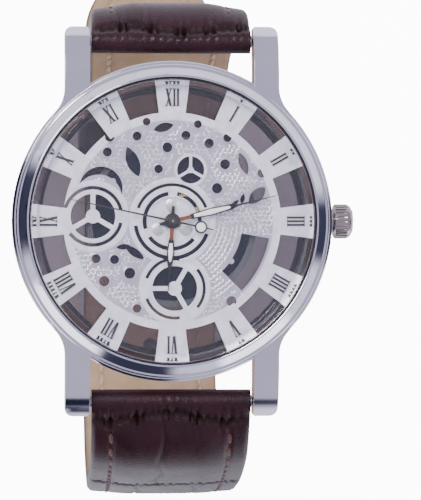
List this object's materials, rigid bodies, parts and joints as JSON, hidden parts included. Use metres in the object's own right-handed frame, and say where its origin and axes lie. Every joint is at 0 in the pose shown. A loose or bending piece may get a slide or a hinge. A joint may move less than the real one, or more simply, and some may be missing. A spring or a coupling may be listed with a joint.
{
  "type": "skeleton wristwatch",
  "caption": "Round steel wristwatch with a pierced silvered dial, roman numerals and a padded leather strap that hangs open in a loop.",
  "frame": {"origin": "on the flat outer face of the six o'clock strap's tail, straight under the hands", "axes": "+Z out of the dial, +Y towards twelve o'clock, +X towards the crown at three o'clock"},
  "size_m": [0.0428, 0.0718, 0.0691],
  "materials": {
    "polished_steel": "polished",
    "bar_steel": "fine turned",
    "crown_steel": "fluted, polished",
    "mineral_glass": "clear, bevelled edge",
    "gasket_black": "matt",
    "dark_ring": "matt",
    "silvered_dial": "frosted silver with engraved relief",
    "numeral_black": "gloss black",
    "lume_white": "off-white filling",
    "plate_dark": "dark blue-black",
    "cell_steel": "satin",
    "soft_iron": "matt",
    "copper_wire": "lacquered winding",
    "train_brass": "cut",
    "board_green": "coated board",
    "chip_black": "moulded",
    "strap_leather": "embossed, padded, semi-gloss",
    "lining_leather": "plain, matt"
  },
  "bodies": {
    "case": {"case_middle": "polished_steel", "bezel": "polished_steel", "crystal": "mineral_glass", "crystal_gasket": "gasket_black", "dial_ring": "dark_ring", "dial_plate": "silvered_dial", "dial_numerals": "numeral_black", "movement_holder": "dark_ring", "case_back": "polished_steel", "back_crystal": "mineral_glass", "back_gasket": "gasket_black", "crown_tube": "bar_steel", "main_plate": "plate_dark", "train_bridge": "plate_dark", "bridge_screws": "bar_steel", "battery": "cell_steel", "battery_clamp": "cell_steel", "coil_core": "soft_iron", "coil_winding": "copper_wire", "stator": "soft_iron", "circuit_board": "board_green", "quartz_can": "cell_steel", "ic_chip": "chip_black", "spring_bar_12": "bar_steel", "spring_bar_6": "bar_steel"},
    "seconds": {"fourth_wheel": "train_brass", "second_hand": "numeral_black", "second_lume": "lume_white"},
    "rotor": {"rotor": "train_brass"},
    "intermediate": {"intermediate_wheel": "train_brass"},
    "third": {"third_wheel": "train_brass"},
    "minutes": {"centre_wheel": "train_brass", "minute_hand": "numeral_black", "minute_lume": "lume_white"},
    "motion": {"minute_wheel": "train_brass"},
    "hours": {"hour_wheel": "train_brass", "hour_hand": "numeral_black", "hour_lume": "lume_white"},
    "setting": {"setting_lever": "bar_steel"},
    "crown": {"crown": "crown_steel", "crown_gasket": "gasket_black", "stem": "bar_steel", "sliding_pinion": "bar_steel"},
    "strap_12": {"strap_12_leather": "strap_leather", "strap_12_lining": "lining_leather", "fixed_keeper": "strap_leather"},
    "keeper": {"free_keeper": "strap_leather"},
    "buckle": {"buckle_frame": "polished_steel", "buckle_bar": "bar_steel"},
    "tongue": {"buckle_tongue": "polished_steel"},
    "strap_6": {"strap_6_leather": "strap_leather", "strap_6_lining": "lining_leather"}
  },
  "joints": [
    {"name": "seconds_spin", "type": "hinge", "parent": "case", "child": "seconds", "pos_m": [0, 0, 0.064], "axis": [0, 0, -1], "continuous": true},
    {"name": "rotor_spin", "type": "hinge", "parent": "case", "child": "rotor", "pos_m": [-0.00373, -0.00253, 0.064], "axis": [0, 0, -1], "continuous": true},
    {"name": "intermediate_spin", "type": "hinge", "parent": "case", "child": "intermediate", "pos_m": [-0.00263, -0.00096, 0.064], "axis": [0, 0, -1], "continuous": true},
    {"name": "third_spin", "type": "hinge", "parent": "case", "child": "third", "pos_m": [0.00122, -0.00212, 0.064], "axis": [0, 0, -1], "continuous": true},
    {"name": "minutes_spin", "type": "hinge", "parent": "case", "child": "minutes", "pos_m": [0, 0, 0.064], "axis": [0, 0, -1], "continuous": true},
    {"name": "motion_spin", "type": "hinge", "parent": "case", "child": "motion", "pos_m": [0.0017, 0.0017, 0.064], "axis": [0, 0, -1], "continuous": true},
    {"name": "hours_spin", "type": "hinge", "parent": "case", "child": "hours", "pos_m": [0, 0, 0.064], "axis": [0, 0, -1], "continuous": true},
    {"name": "crown_pull", "type": "slide", "parent": "case", "child": "setting", "axis": [1, 0, 0], "range_m": [0, 0.001]},
    {"name": "crown_spin", "type": "hinge", "parent": "setting", "child": "crown", "pos_m": [0.02, 0, 0.06365], "axis": [1, 0, 0], "continuous": true},
    {"name": "strap_12_swing", "type": "hinge", "parent": "case", "child": "strap_12", "pos_m": [0, 0.0226, 0.0626], "axis": [1, 0, 0], "range_deg": [0, 100]},
    {"name": "strap_6_swing", "type": "hinge", "parent": "case", "child": "strap_6", "pos_m": [0, -0.0226, 0.0626], "axis": [-1, 0, 0], "range_deg": [0, 90]},
    {"name": "buckle_swing", "type": "hinge", "parent": "strap_12", "child": "buckle", "pos_m": [0, 0.00632, 0.0144], "axis": [-1, 0, 0], "range_deg": [-45, 110]},
    {"name": "tongue_swing", "type": "hinge", "parent": "buckle", "child": "tongue", "pos_m": [0, 0.00632, 0.0144], "axis": [1, 0, 0], "range_deg": [0, 55]},
    {"name": "keeper_slide", "type": "slide", "parent": "strap_12", "child": "keeper", "axis": [0, 0.682, 0.7314], "range_m": [0, 0.004]}
  ],
  "couplings": [
    {"joint": "rotor_spin", "follows": "seconds_spin", "ratio": 30},
    {"joint": "intermediate_spin", "follows": "seconds_spin", "ratio": -6},
    {"joint": "third_spin", "follows": "seconds_spin", "ratio": -0.13333},
    {"joint": "minutes_spin", "follows": "seconds_spin", "ratio": 0.016667},
    {"joint": "motion_spin", "follows": "seconds_spin", "ratio": -0.0055556},
    {"joint": "hours_spin", "follows": "seconds_spin", "ratio": 0.0013889}
  ]
}
